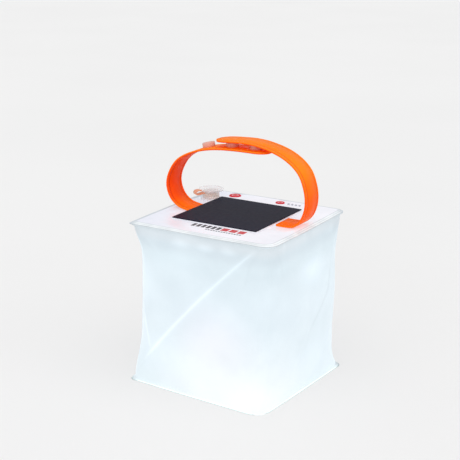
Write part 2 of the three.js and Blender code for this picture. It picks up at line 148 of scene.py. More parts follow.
# ---------------------------------------------------------------- materials
class Nodes:
    """A short way to write a node material: every method adds a node and returns its output socket."""

    def __init__(self, name):
        self.material = bpy.data.materials.new(name)
        self.material.use_nodes = True
        self.tree = self.material.node_tree
        self.shader = self.tree.nodes["Principled BSDF"]

    def add(self, kind, **sockets):
        node = self.tree.nodes.new(kind)
        for key, value in sockets.items():
            self.feed(node.inputs[key.replace("_", " ")], value)
        return node

    def feed(self, socket, value):
        """Links a socket to another node's output, or sets its number or colour."""
        if isinstance(value, bpy.types.NodeSocket):
            self.tree.links.new(value, socket)
        else:
            socket.default_value = value

    def place(self):
        return self.add("ShaderNodeTexCoord").outputs["Object"]

    def axis(self, which):
        node = self.add("ShaderNodeSeparateXYZ", Vector=self.place())
        return node.outputs[which]

    def math(self, operation, a, b=None):
        node = self.tree.nodes.new("ShaderNodeMath")
        node.operation = operation
        self.feed(node.inputs[0], a)
        if b is not None:
            self.feed(node.inputs[1], b)
        return node.outputs[0]

    def noise(self, scale, detail=3.0, rough=0.5, stretch=(1, 1, 1)):
        at = self.add("ShaderNodeMapping", Vector=self.place(), Scale=stretch).outputs[0]
        node = self.add("ShaderNodeTexNoise", Vector=at, Scale=scale, Detail=detail, Roughness=rough)
        return node.outputs["Fac"]

    def attribute(self, name):
        """A number that the mesh stores at each of its points."""
        node = self.add("ShaderNodeAttribute")
        node.attribute_name = name
        return node.outputs["Fac"]

    def ramp(self, value, stops):
        """A colour for each value, from (value, colour) stops."""
        node = self.add("ShaderNodeValToRGB", Fac=value)
        node.color_ramp.interpolation = "EASE"
        ramp = node.color_ramp.elements
        while len(ramp) < len(stops):
            ramp.new(0.5)
        for element, (at, colour) in zip(ramp, stops):
            element.position = at
            element.color = (*colour, 1) if len(colour) == 3 else colour
        return node.outputs["Color"]

    def level(self, value, low, high, out_low=0.0, out_high=1.0):
        """An eased step from one output to the other as the value goes from low to high."""
        limits = {"From_Min": low, "From_Max": high, "To_Min": out_low, "To_Max": out_high}
        node = self.add("ShaderNodeMapRange", Value=value, **limits)
        node.interpolation_type = "SMOOTHSTEP"
        return node.outputs["Result"]

    def mix(self, factor, a, b):
        node = self.tree.nodes.new("ShaderNodeMix")
        node.data_type = "RGBA"
        self.feed(node.inputs["Factor"], factor)
        self.feed(node.inputs["A"], a)
        self.feed(node.inputs["B"], b)
        return node.outputs["Result"]

    def scale_colour(self, colour, factor):
        node = self.tree.nodes.new("ShaderNodeVectorMath")
        node.operation = "SCALE"
        self.feed(node.inputs[0], colour)
        self.feed(node.inputs["Scale"], factor)
        return node.outputs[0]

    def patch(self, place, wide, high):
        """1 at a point given in millimetres, falling to 0 at a half width and a half height from it."""
        scale = (1 / wide / MM, 1 / wide / MM, 1 / high / MM)
        back = tuple(-at * MM * size for at, size in zip(place, scale))
        moved = self.add("ShaderNodeMapping", Vector=self.place(), Location=back, Scale=scale)
        node = self.tree.nodes.new("ShaderNodeVectorMath")
        node.operation = "LENGTH"
        self.feed(node.inputs[0], moved.outputs[0])
        return self.level(node.outputs["Value"], 1.0, 0.0)

    def relief(self, height, strength, distance):
        """A fine surface relief. The distance is in metres."""
        node = self.add("ShaderNodeBump", Height=height, Strength=strength, Distance=distance)
        self.tree.links.new(node.outputs[0], self.shader.inputs["Normal"])

    def set(self, **sockets):
        for key, value in sockets.items():
            self.feed(self.shader.inputs[key.replace("_", " ")], value)
        return self.material


def linear(r, g, b):
    """sRGB 0 to 255 as linear light."""
    return tuple(((v / 255 + 0.055) / 1.055) ** 2.4 if v > 10 else v / 255 / 12.92 for v in (r, g, b))


def moulded(name, colour, rough, grain=900, vary=0.06):
    """Moulded plastic with a fine grain, whose colour varies a little in patches."""
    n = Nodes(name)
    dark = tuple(c * (1 - vary) for c in linear(*colour))
    light = tuple(min(1, c * (1 + vary)) for c in linear(*colour))
    n.set(Base_Color=n.ramp(n.noise(35, 4), [(0.35, dark), (0.65, light)]))
    n.set(Roughness=n.level(n.noise(160, 3), 0.3, 0.7, rough - 0.06, rough + 0.08))
    n.relief(n.noise(grain, 2), 0.12, 0.0002)
    return n.material


# ---------------------------------------------------------------- camera, light, floor
def camera_like_the_picture():
    """A camera where the picture was taken from, as its perspective gives it."""
    azimuth, elevation, roll = math.radians(30.463), math.radians(16.312), math.radians(0.673)
    target = Vector((-0.00754, -0.00444, 0.143935))
    reach = 1.05793
    level = math.cos(elevation)
    back = Vector((math.sin(azimuth) * level, -math.cos(azimuth) * level, math.sin(elevation)))
    right = Vector((math.cos(azimuth), math.sin(azimuth), 0))
    up = back.cross(right)
    turned_right = right * math.cos(roll) + up * math.sin(roll)
    turned_up = up * math.cos(roll) - right * math.sin(roll)
    data = bpy.data.cameras.new("camera")
    data.sensor_width = 36
    data.lens = 87.82
    data.clip_end = 60
    obj = bpy.data.objects.new("camera", data)
    basis = Matrix((turned_right, turned_up, back)).transposed().to_4x4()
    obj.matrix_world = Matrix.Translation(target + back * reach) @ basis
    bpy.context.scene.collection.objects.link(obj)
    bpy.context.scene.camera = obj


def studio():
    """A pale paper floor under an even white sky and one very soft light from the front."""
    world = bpy.data.worlds.new("studio")
    bpy.context.scene.world = world
    world.use_nodes = True
    sky = world.node_tree.nodes["Background"].inputs
    sky["Color"].default_value = (1, 1, 1, 1)
    sky["Strength"].default_value = 0.68
    sun = bpy.data.lights.new("soft_sun", "SUN")
    sun.energy = 1.45
    sun.angle = math.radians(100)
    holder = bpy.data.objects.new("soft_sun", sun)
    holder.rotation_euler = (math.radians(38), math.radians(12), math.radians(25))
    bpy.context.scene.collection.objects.link(holder)
    n = Nodes("floor_paper")
    tint = n.ramp(n.noise(1.5, 2), [(0.3, linear(237, 237, 237)), (0.7, linear(239, 239, 239))])
    n.set(Base_Color=tint, Roughness=0.9, Specular_IOR_Level=0.1)
    half = 12
    corners = [(-half, -half, 0), (half, -half, 0), (half, half, 0), (-half, half, 0)]
    mesh = bpy.data.meshes.new("floor")
    mesh.from_pydata(corners, [], [(0, 1, 2, 3)])
    mesh.materials.append(n.material)
    floor = bpy.data.objects.new("floor", mesh)
    bpy.context.scene.collection.objects.link(floor)
    bpy.context.scene.view_settings.view_transform = "Standard"


camera_like_the_picture()
studio()


# ---------------------------------------------------------------- the film sleeve
# How square each corner of the sleeve is, as the exponent of the superellipse it follows: away from the
# ends, added at the bottom, over what height, added at the top, over what height, and added on the way up.
CORNERS = {
    "right": (5.3, 26, 5, 18, 10, 1.6),
    "back": (5.0, 22, 12, 20, 9, 0.8),
    "left": (4.8, 23, 12, 24, 8, 0.0),
    "front": (5.0, 22, 12, 20, 9, 0.8),
}


def squareness(corner, z):
    """The corner's exponent at a height. It is sharpest at the two ends of the sleeve."""
    base, low, low_reach, high, high_reach, slope = CORNERS[corner]
    ends = low * math.exp(-z / low_reach) + high * math.exp(-(WALL_HIGH - z) / high_reach)
    return base + ends + slope * z / WALL_HIGH


# The sleeve's half width at its ends, and how much it swells between them.
SLEEVE_HALF, SLEEVE_SWELL = 71.3, 3.2


def sleeve_half(z):
    share = min(max((z - WALL_LOW) / (WALL_HIGH - WALL_LOW), 0), 1)
    return SLEEVE_HALF + SLEEVE_SWELL * math.sin(math.pi * share) ** 0.3


# Points across each wall and rings up it, and the heights of the flanges.
SLEEVE_ACROSS, SLEEVE_UP = 110, 150
FLANGE_LOW, FLANGE_HIGH = WALL_LOW + 0.3, WALL_HIGH - 0.5

# The main fold line of each wall, as seen from outside: where it meets the bottom and the top (in millimetres
# from the wall's middle, with its heights), how far it bows, and how sharp it shows in its relief and in its
# painted highlight.
FOLDS = [
    ((-40, 0), (80, 157), 0.0, 0.08),
    ((-72, 2), (62, 157), -5.0, 0.7),
    ((-66, 2), (66, 157), -4.0, 0.8),
    ((-74, 3), (63.5, 157), -4.4, 1.0),
]

# Smaller creases: the wall, the points it runs through, and how far it stands out (below 0 it is a groove).
CREASES = [
    (3, ((-66, 82), (-58, 60), (-50, 36)), 1.0),
    (3, ((-69, 150), (-62, 128), (-60, 104)), 0.45),
    (3, ((-70, 128), (-64, 108)), -0.4),
    (3, ((62, 152), (54, 138), (50, 118)), -0.3),
    (3, ((-60, 150), (-46, 140), (-38, 132)), 0.25),
    (0, ((47, 118), (42, 88), (24, 70), (8, 56)), -0.8),
    (0, ((-62, 151), (-52, 136), (-48, 120)), -0.35),
    (0, ((62, 150), (52, 132), (50, 116)), 0.35),
    (0, ((64, 10), (58, 26), (60, 44)), 0.4),
    (0, ((-66, 6), (-58, 20)), 0.3),
    (1, ((-64, 80), (-57, 58), (-50, 38)), 0.6),
    (1, ((60, 152), (52, 136), (50, 116)), -0.35),
    (2, ((-64, 84), (-56, 60), (-48, 40)), 0.6),
    (2, ((62, 151), (54, 134), (53, 118)), 0.4),
    (2, ((40, 60), (22, 34)), -0.3),
]


def fold_distance(face, s, z):
    """Signed distance in millimetres from a wall's main fold line, and the share of the way up it."""
    (x0, z0), (x1, z1), bow, _ = FOLDS[face]
    length = math.hypot(x1 - x0, z1 - z0)
    ux, uz = (x1 - x0) / length, (z1 - z0) / length
    t = ((s - x0) * ux + (z - z0) * uz) / length
    away = (s - x0) * uz - (z - z0) * ux
    clamped = min(max(t, 0), 1)
    return away - bow * 4 * clamped * (1 - clamped), t


def crease_share(points, s, z, width):
    """1 on a crease's line, falling to 0 away from it and towards its two ends."""
    best, so_far = None, 0.0
    lengths = [math.hypot(b[0] - a[0], b[1] - a[1]) for a, b in zip(points, points[1:])]
    total = sum(lengths)
    for (x0, z0), (x1, z1), length in zip(points, points[1:], lengths):
        t = min(max(((s - x0) * (x1 - x0) + (z - z0) * (z1 - z0)) / length**2, 0), 1)
        away = math.hypot(s - x0 - t * (x1 - x0), z - z0 - t * (z1 - z0))
        if best is None or away < best[0]:
            best = (away, (so_far + t * length) / total)
        so_far += length
    away, along = best
    return math.exp(-((away / width) ** 1.5)) * math.sin(math.pi * min(max(along, 0.02), 0.98)) ** 0.6


def small_creases(face, s, z, width):
    """The sum of a wall's smaller creases at a place on it."""
    total = 0.0
    for where, points, depth in CREASES:
        if where == face and abs(s - points[0][0]) < 70:
            total += depth * crease_share(points, s, z, width)
    return total


def sleeve_relief(face, s, z):
    """How far the film stands out from the blown-up shape, in millimetres."""
    away, t = fold_distance(face, s, z)
    strength = FOLDS[face][3]
    ends = smooth(0.02, 0.14, t) * (1 - smooth(0.9, 1.0, t))
    out = strength * ends * (0.85 * math.exp(-abs(away) / 1.3) - 0.4 * bump(away, 0, 7))
    out += 0.55 * small_creases(face, s, z, 1.7)
    edge = smooth(0, 16, min(z, WALL_HIGH - z))
    pillow = 0.9 * smooth(3, 40, abs(away)) * edge
    upper = math.sin(s / 5.2 + 2.2 * noise_at(s, face * 50, 0, 22))
    lower = math.sin(s / 4.4 + 2.5 * noise_at(s, face * 50, 9, 20))
    tucks = (1 - smooth(0, 20, WALL_HIGH - z)) * 0.55 * upper + (1 - smooth(0, 16, z)) * 0.3 * lower
    tucks *= smooth(0, 5, min(z - WALL_LOW, WALL_HIGH - z))
    slack = 0.8 * noise_at(s + 300 * face, 0, z, 34) + 0.25 * noise_at(s + 300 * face, 5, z, 12)
    return out + pillow + tucks + slack * edge


def twist_at(z):
    """How far the film cube's rest twist has turned it back at a height. At the top it is 0."""
    return REST_TWIST * (1 - z / TOP_FACE)


def sleeve_point(face, s, z):
    """A point of the sleeve: s from -1 to 1 across a wall (0 faces +X, 1 +Y, 2 -X, 3 -Y)."""
    angle = face * math.pi / 2 + math.atan(s)
    c, d = math.cos(angle), math.sin(angle)
    corner = (("front", "right"), ("right", "back"), ("back", "left"), ("left", "front"))[face][s > 0]
    n = squareness(corner, z)
    half = sleeve_half(z)
    reach = half / (abs(c) ** n + abs(d) ** n) ** (1 / n)
    x, y = reach * c, reach * d
    out_x = math.copysign(abs(x / half) ** (n - 1), x)
    out_y = math.copysign(abs(y / half) ** (n - 1), y)
    lift = sleeve_relief(face, s * half, z) * (1 - smooth(0.88, 1.0, abs(s)))
    spot = Vector((x, y, z)) + Vector((out_x, out_y, 0)).normalized() * lift
    return Matrix.Rotation(-twist_at(z), 3, "Z") @ spot


def mark_folds(obj):
    """Stores how strongly a fold line shows at each point, for the painted highlight along the folds (below
    0, painted shade along a groove) in the film's material.
    """
    lines = obj.data.attributes.new("fold", "FLOAT", "POINT")
    for vertex, item in zip(obj.data.vertices, lines.data):
        z = vertex.co.z / MM
        spot = Matrix.Rotation(twist_at(z), 3, "Z") @ (vertex.co / MM)
        face = int(((math.atan2(spot.y, spot.x) + math.pi / 4) % (2 * math.pi)) // (math.pi / 2))
        s = (spot.y, -spot.x, -spot.y, spot.x)[face]
        away, t = fold_distance(face, s, z)
        ends = smooth(0.1, 0.26, t) * (1 - smooth(0.9, 0.98, t))
        item.value = FOLDS[face][3] * ends * math.exp(-abs(away) / 1.2) + 0.5 * small_creases(face, s, z, 1.6)


def sleeve_flange(z, steps):
    """The sleeve's turned-out end, which is welded between the sheets' rims."""
    rings = []
    for share in steps:
        ring = []
        for face in range(4):
            for k in range(SLEEVE_ACROSS):
                s = -1 + 2 * k / SLEEVE_ACROSS
                turned = face * math.pi / 2 - twist_at(z)
                angle = turned + math.atan(s)
                reach = (SHEET_HALF - 0.5) / math.cos(angle - turned)
                reach = min(reach, (SHEET_HALF - 0.5) * math.sqrt(2) - 3.2)
                outer = Vector((reach * math.cos(angle), reach * math.sin(angle), z))
                ring.append(sleeve_point(face, s, z).lerp(outer, share))
        rings.append(ring)
    return rings


def film_sleeve(material):
    """The four walls as one skin, with a flange at each end."""
    rings = sleeve_flange(FLANGE_LOW, (1.0, 0.66, 0.33))
    for i in range(SLEEVE_UP + 1):
        share = 0.5 - 0.5 * math.cos(math.pi * i / SLEEVE_UP)
        z = FLANGE_LOW + (FLANGE_HIGH - FLANGE_LOW) * (0.35 * share + 0.65 * i / SLEEVE_UP)
        ring = []
        for face in range(4):
            for k in range(SLEEVE_ACROSS):
                ring.append(sleeve_point(face, -1 + 2 * k / SLEEVE_ACROSS, z))
        rings.append(ring)
    rings += sleeve_flange(FLANGE_HIGH, (0.33, 0.66, 1.0))
    points, faces = loft(rings)
    obj = mesh_object("film_sleeve", points, faces, material, "walls")
    mark_folds(obj)
    thick = obj.modifiers.new("film", "SOLIDIFY")
    thick.thickness = SLEEVE_THICK * MM
    thick.offset = -1
    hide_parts("side_wall")
    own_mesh(obj)
    # The film glows, and still neither its light nor its shadow shows on the floor around it.
    obj.visible_diffuse = False
    obj.visible_shadow = False


# Light through the film: place, half width, half height, and strength. It is below 0 where the corners get
# painted shade.
LIGHT_PATCHES = [
    ((-19, -73, 147), 14, 6, 0.15),
    ((8, -73, 147), 14, 6, 0.18),
    ((32, -73, 147), 13, 6, 0.14),
    ((74, -52, 132), 18, 14, 0.05),
    ((74, 6, 117), 34, 22, 0.15),
    ((74, 40, 146), 12, 6, 0.06),
    ((-74, 22, 120), 34, 22, 0.12),
    ((-74, -30, 134), 18, 14, 0.07),
    ((18, 74, 119), 34, 22, 0.12),
    ((-30, 74, 134), 18, 14, 0.07),
    ((-62, -70, 100), 20, 34, 0.1),
    ((34, -73, 84), 30, 26, 0.05),
    ((-22, -73, 134), 46, 26, 0.07),
    ((0, -80, 88), 105, 95, 0.045),
    ((-20, -73, 30), 42, 40, 0.09),
    ((54, -73, 12), 34, 30, 0.08),
    ((77, 68, 1), 9, 7, -0.5),
    ((-77, -68, 1), 7, 5, -0.25),
    ((74, 62, 150), 20, 16, -0.14),
    ((-74, -71, 152), 16, 12, -0.22),
]


def lit_film():
    """Frosted film lit from inside: clear blue-white, dimmer near the top and whiter low on the front."""
    n = Nodes("lit_film")
    share = n.math("DIVIDE", n.axis("Z"), TOP_FACE * MM)
    glow = n.ramp(
        share,
        [
            (0.0, (0.55, 0.62, 0.65)),
            (0.16, (0.53, 0.60, 0.64)),
            (0.35, (0.52, 0.585, 0.622)),
            (0.54, (0.505, 0.57, 0.612)),
            (0.73, (0.49, 0.56, 0.602)),
            (0.84, (0.455, 0.53, 0.57)),
            (0.91, (0.41, 0.475, 0.516)),
            (0.96, (0.445, 0.485, 0.515)),
            (1.0, (0.40, 0.44, 0.46)),
        ],
    )
    middle_front = n.patch((19, -78, 58), 58, 50)
    glow = n.mix(n.math("MULTIPLY", middle_front, 0.8), glow, (0.58, 0.575, 0.63, 1))
    low_front = n.patch((36, -80, 0), 110, 85)
    glow = n.mix(n.math("MULTIPLY", low_front, 0.9), glow, (0.70, 0.70, 0.70, 1))
    total = n.level(n.noise(22, 3, 0.5), 0.35, 0.65, 0.985, 1.015)
    for place, wide, high, strength in LIGHT_PATCHES:
        total = n.math("ADD", total, n.math("MULTIPLY", n.patch(place, wide, high), strength))
    # Painted highlight along the fold lines, and painted shade along the creases that sink in.
    total = n.math("ADD", total, n.math("MULTIPLY", n.attribute("fold"), 0.3))
    n.set(Base_Color=n.ramp(n.noise(30, 3), [(0.3, (0.24, 0.27, 0.29)), (0.7, (0.28, 0.31, 0.33))]))
    n.set(Roughness=n.level(n.noise(120, 3), 0.3, 0.7, 0.36, 0.5), Specular_IOR_Level=0.35)
    n.set(Emission_Color=n.scale_colour(glow, total), Emission_Strength=1.0)
    n.relief(n.noise(420, 3, 0.6), 0.08, 0.0003)
    return n.material


# ---------------------------------------------------------------- the two film sheets
def square_ring(half, radii, bow):
    """Points of a rounded square, counter-clockwise. The four corner radii start at +X -Y."""
    count_side, count_corner = 56, 14
    points = []
    for corner in range(4):
        radius = min(radii[corner], half * 0.98)
        middle = -math.pi / 4 + corner * math.pi / 2
        centre = (half - radius) * math.sqrt(2)
        for k in range(count_corner):
            a = middle + (k / (count_corner - 1) - 0.5) * math.pi / 2
            x = centre * math.cos(middle) + radius * math.cos(a)
            y = centre * math.sin(middle) + radius * math.sin(a)
            points.append((x, y))
        after = min(radii[(corner + 1) % 4], half * 0.98)
        a = middle + math.pi / 4
        start = points[-1]
        length = 2 * half - radius - after
        for k in range(1, count_side):
            t = k / count_side
            push = bow * math.sin(math.pi * t)
            x = start[0] - math.sin(a) * length * t + math.cos(a) * push
            y = start[1] + math.cos(a) * length * t + math.sin(a) * push
            points.append((x, y))
    return points


def film_sheet(name, radii, height, material, body, bow, turn=0.0):
    """A welded film sheet as rings from its edge to its middle.

    The height function gives z at a point, and bow is how far each side curves out.
    """
    halves = [SHEET_HALF, SHEET_HALF - 0.25]
    halves += [SHEET_HALF - 0.6 - 0.35 * k for k in range(18)]
    halves += [halves[-1] - 1.6 * (k + 1) for k in range(17)]
    halves += [34, 26, 18, 10, 4]
    rings = []
    for half in halves:
        shrink = half / SHEET_HALF
        inset = 0.9 * (SHEET_HALF - half)
        radius = [max(0.6, r - inset) if half > 40 else max(0.3, r * shrink) for r in radii]
        ring = square_ring(half, radius, bow * shrink)
        rings.append([Vector((x, y, height(x, y, half))) for x, y in ring])
    points, faces = loft(rings)
    count = len(rings[0])
    faces.append(tuple(range((len(rings) - 1) * count, len(points))))
    points = [Matrix.Rotation(turn, 3, "Z") @ p for p in points]
    obj = mesh_object(name, points, faces, material, body)
    inset = obj.data.attributes.new("inset", "FLOAT", "POINT")
    for k, item in enumerate(inset.data):
        item.value = SHEET_HALF - halves[k // count]
    mod = obj.modifiers.new("film", "SOLIDIFY")
    mod.thickness = SHEET_THICK * MM
    mod.offset = -1
    return obj


def middle_of(node):
    """The middle of a CAD piece seen from above, in millimetres."""
    low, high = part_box(node)
    return (low.x + high.x) / 2 / MM, (low.y + high.y) / 2 / MM


VALVE = middle_of("valve_base")
BEZEL = [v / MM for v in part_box("panel_bezel")]
STRAP_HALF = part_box("strap_left")[1][1] / MM
# Where the film lies flat round the buttons and indicators, and how far from their middles.
BUTTON_PLACES = [(middle_of("power_button"), 6.3), (middle_of("check_button"), 4.8)]
BUTTON_PLACES += [(middle_of(f"indicator_{k + 1}"), 2) for k in range(4)]
SEAM = SHEET_HALF - RIM_WIDTH


def top_height(x, y, half):
    """The film rises from its rim over the seam. The straps and the valve's ring hold it down."""
    rise = 1 - (1 - min((SHEET_HALF - half) / 13, 1.0)) ** 2.2
    full = TOP_FACE - 0.2 + 2.1 * rise + 0.12 * noise_at(x, y, 3, 16) * smooth(70, 60, half)
    weld = 0.3 * bump(half, SEAM, 0.5) + 0.26 * bump(half, 72.8, 0.45)
    hold = min(1.0, smooth(STRAP_HALF + 0.5, 34, abs(y)) + smooth(62, 68, abs(x)))
    from_valve = math.hypot(x - VALVE[0], y - VALVE[1])
    hold *= max(smooth(12.5, 24, from_valve), smooth(SEAM - 1.5, SEAM + 1, half))
    outside = max(BEZEL[0].x - x, x - BEZEL[1].x, BEZEL[0].y - y, y - BEZEL[1].y)
    hold *= smooth(-0.5, 0.5, outside)
    for (px, py), reach in BUTTON_PLACES:
        hold *= 0.25 + 0.75 * smooth(reach, reach + 6, math.hypot(x - px, y - py))
    ripple = 0.3 * noise_at(x, y, 8, 45) * smooth(70, 75, half)
    low = TOP_FACE + 0.05
    return low + (full - low) * hold + weld + ripple


def bottom_height(x, y, half):
    """The bottom film is flat, with two raised weld lines along its rim."""
    return SHEET_THICK + 0.2 * bump(half, 71.2, 0.5) + 0.16 * bump(half, 73.2, 0.5)


def inside(n, value, low, high, soft=0.15):
    """1 where the value is between two limits in millimetres."""
    after = n.level(value, (low - soft) * MM, (low + soft) * MM)
    before = n.level(value, (high + soft) * MM, (high - soft) * MM)
    return n.math("MULTIPLY", after, before)


def dashes(n, x0, x1, y0, y1, pitch, fill):
    """A printed row of short bars, in millimetres."""
    row = n.math("MULTIPLY", inside(n, n.axis("X"), x0, x1), inside(n, n.axis("Y"), y0, y1))
    step = n.math("MODULO", n.math("SUBTRACT", n.axis("X"), x0 * MM), pitch * MM)
    return n.math("MULTIPLY", row, n.level(step, (fill + 0.1) * MM, (fill - 0.1) * MM))


# Printed rows of short bars: left, right, front and back end, spacing, and a bar's width.
DARK_BARS = (-19, 11.6, -56.2, -48.0, 5.2, 3.6)
RED_BARS = (12, 37.2, -56.2, -48.0, 8.6, 7.0)
SMALL_BARS = (-1, 36.8, -60.6, -58.6, 2.7, 2.0)
# Lines along the rim: how far in from the cut edge, and how strong.
RIM_LINES = ((0.2, 0.7), (2.2, 0.4), (RIM_WIDTH, 0.5))


def printed_film():
    """White film with a clear rim, and plain rows of printed bars in front of the panel. It has a painted
    glow, and painted shade towards -X and on its far rim.
    """
    n = Nodes("printed_film")
    white = n.ramp(n.noise(18, 4), [(0.3, linear(171, 172, 178)), (0.7, linear(177, 178, 184))])
    # Painted shade, darker towards the -X side.
    left_shade = n.level(n.axis("X"), 0, -SHEET_HALF * MM)
    white = n.mix(n.math("MULTIPLY", left_shade, 0.55), white, (*linear(156, 161, 172), 1))
    rim = n.ramp(n.noise(60, 4), [(0.3, linear(163, 168, 171)), (0.7, linear(178, 182, 184))])
    inset = n.attribute("inset")
    colour = n.mix(n.level(inset, RIM_WIDTH + 0.1, RIM_WIDTH - 0.5), white, rim)
    dark = n.ramp(n.noise(300, 2), [(0.3, linear(24, 23, 30)), (0.7, linear(30, 29, 37))])
    red = n.ramp(n.noise(300, 2), [(0.3, linear(138, 6, 22)), (0.7, linear(148, 10, 28))])
    colour = n.mix(dashes(n, *DARK_BARS), colour, dark)
    colour = n.mix(dashes(n, *RED_BARS), colour, red)
    colour = n.mix(dashes(n, *SMALL_BARS), colour, dark)
    line = n.ramp(n.noise(50, 3), [(0.3, linear(128, 135, 139)), (0.7, linear(142, 149, 152))])
    for place, share in RIM_LINES:
        away = n.math("ABSOLUTE", n.math("SUBTRACT", inset, place))
        near = n.level(away, 0.7, 0.2)
        colour = n.mix(n.math("MULTIPLY", near, share), colour, line)
    # The rim has painted shade along the two far sides (-X and +Y), and in the corner between +X and +Y.
    shade = n.ramp(n.noise(50, 3), [(0.3, linear(132, 139, 144)), (0.7, linear(142, 148, 153))])
    far_x = n.level(n.axis("X"), -64 * MM, -73.5 * MM)
    far_y = n.level(n.axis("Y"), 64 * MM, 73.5 * MM)
    far = n.math("MAXIMUM", far_x, far_y)
    colour = n.mix(n.math("MULTIPLY", far, n.level(inset, 6.4, 5.4)), colour, shade)
    corner_x = n.level(n.axis("X"), 60 * MM, 70 * MM)
    corner_y = n.level(n.axis("Y"), 58 * MM, 70 * MM)
    corner = n.math("MULTIPLY", corner_x, corner_y)
    corner = n.math("MULTIPLY", corner, n.level(inset, RIM_WIDTH + 0.3, RIM_WIDTH - 0.5))
    colour = n.mix(n.math("MULTIPLY", corner, 0.6), colour, shade)
    rough = n.level(n.noise(140, 3), 0.3, 0.7, 0.3, 0.42)
    n.set(Base_Color=colour, Roughness=rough, Specular_IOR_Level=0.4)
    # A painted glow in the film's own colours stands in for the lamp's light coming through it.
    n.set(Coat_Weight=0.25, Coat_Roughness=0.2, Emission_Color=colour, Emission_Strength=1.1)
    n.relief(n.noise(260, 3, 0.6), 0.12, 0.0003)
    return n.material


def rim_film():
    """The clear bottom film, with the lamp's light painted in it as a glow, a darker cut edge and painted
    shade in two corners.
    """
    n = Nodes("rim_film")
    edge = n.level(n.attribute("inset"), 0.35, 0.1)
    # Painted shade in two corners: a darker colour and a weaker glow there.
    corner_shade = n.math("MULTIPLY", n.patch((-76, -68, 1), 9, 9), 0.6)
    corner_shade = n.math("MAXIMUM", n.patch((76, 68, 1), 11, 11), corner_shade)
    plain = n.ramp(n.noise(60, 4), [(0.3, linear(214, 226, 225)), (0.7, linear(236, 244, 244))])
    base = n.mix(edge, plain, (*linear(190, 198, 196), 1))
    n.set(Base_Color=n.mix(corner_shade, base, (*linear(118, 134, 140), 1)))
    n.set(Roughness=n.level(n.noise(140, 3), 0.3, 0.7, 0.28, 0.42), Specular_IOR_Level=0.45)
    light = n.ramp(n.noise(40, 2), [(0.3, (0.30, 0.37, 0.37)), (0.7, (0.36, 0.42, 0.42))])
    light = n.mix(edge, light, (0.2, 0.23, 0.23, 1))
    n.set(Emission_Color=n.mix(corner_shade, light, (0.05, 0.07, 0.08, 1)), Emission_Strength=1.0)
    n.relief(n.noise(260, 3, 0.6), 0.12, 0.0003)
    return n.material


# ---------------------------------------------------------------- straps
def spline_point(line, t):
    """A uniform Catmull-Rom curve, the one that the solids follow."""
    place = (len(line) - 1) * t
    k = min(int(place), len(line) - 2)
    w = place - k
    around = [line[max(k - 1, 0)], line[k], line[k + 1], line[min(k + 2, len(line) - 1)]]
    out = []
    for axis in (0, 1):
        a, b, c, d = (point[axis] for point in around)
        v0, v1 = (c - a) * 0.5, (d - b) * 0.5
        out.append((2 * b - 2 * c + v0 + v1) * w**3 + (-3 * b + 3 * c - 2 * v0 - v1) * w * w + v0 * w + b)
    return out


# The straps' centre lines seen from the front, from where they leave the panel to their free ends.
STRAP_MIDDLE = TOP_FACE + 1.4
LEFT_LINE = [
    (BEZEL[0].x - 0.3, STRAP_MIDDLE), (-51, STRAP_MIDDLE + 0.2), (-61, 161.7), (-69.5, 169), (-73.5, 181),
    (-70.5, 194), (-61, 207), (-44, 216), (-24, 221), (0, 222.8), (33, 222.8),
]
RIGHT_LINE = [
    (45.5, STRAP_MIDDLE), (58, STRAP_MIDDLE + 0.2), (64.5, 160.9), (71, 168), (74.6, 180),
    (73.4, 194), (67, 209), (54, 220), (36, 227), (12, 230.5), (-24, 228.6),
]
STRAP_THICK = 2.0
# Half of the band's section: how far in from its edge, and the share of half the thickness there. A shallow
# groove runs along each edge, at the steps below.
STRAP_SECTION = [
    (0, 0.35), (0.15, 0.75), (0.5, 0.97), (1.1, 1.0), (2.6, 1.0), (3.0, 0.62), (3.5, 0.62), (3.9, 1.0),
]
GROOVE_STEPS = (5, 6)


def walk(line, stops):
    """Points and unit directions along a strap's centre line, at the given distances from its start."""
    dense = [spline_point(line, k / 600) for k in range(601)]
    travel = [0.0]
    for a, b in zip(dense, dense[1:]):
        travel.append(travel[-1] + math.hypot(b[0] - a[0], b[1] - a[1]))
    found = []
    k = 1
    for stop in stops(travel[-1]):
        while k < 600 and travel[k] < stop:
            k += 1
        (ax, az), (bx, bz) = dense[k - 1], dense[k]
        step = travel[k] - travel[k - 1]
        w = (stop - travel[k - 1]) / step
        found.append((stop, ax + (bx - ax) * w, az + (bz - az) * w, (bx - ax) / step, (bz - az) / step))
    return found, travel[-1]


def strap_stops(length):
    """Even steps along the straight part, and close ones round the free end."""
    straight = length - STRAP_HALF
    stops = [straight * k / 130 for k in range(131)]
    return stops + [straight + STRAP_HALF * math.sin(math.pi / 2 * k / 18) for k in range(1, 19)]


def strap(name, line, material, nodes):
    """A silicone band with rounded edges and a round free end, swept along its centre line."""
    places, length = walk(line, strap_stops)
    rings = []
    for stop, x, z, dx, dz in places:
        left = length - stop
        wide = math.sqrt(max(STRAP_HALF**2 - max(STRAP_HALF - left, 0) ** 2, 0.05))
        deep = STRAP_THICK / 2 * (1 if left > 1 else max(0.4, math.sqrt(1 - (1 - left) ** 2)))
        half_section = [(wide * (1 - inset / STRAP_HALF), share * deep) for inset, share in STRAP_SECTION]
        upper = half_section + [(-y, d) for y, d in reversed(half_section)]
        section = upper + [(y, -d) for y, d in reversed(upper)]
        rings.append([Vector((x - dz * d, y, z + dx * d)) for y, d in section])
    points, faces = loft(rings, cap=True)
    obj = mesh_object(name, points, faces, material, None)
    count = len(rings[0])
    groove = obj.data.attributes.new("groove", "FLOAT", "POINT")
    inner = obj.data.attributes.new("inner", "FLOAT", "POINT")
    for k in range(len(points)):
        step = k % count % (2 * len(STRAP_SECTION))
        across = min(step, 2 * len(STRAP_SECTION) - 1 - step)
        groove.data[k].value = 1.0 if across in GROOVE_STEPS else 0.0
        inner.data[k].value = 1.0 if (k % count >= count / 2) == (line[0][0] < 0) else 0.0
    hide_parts(*nodes)
    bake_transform(obj)


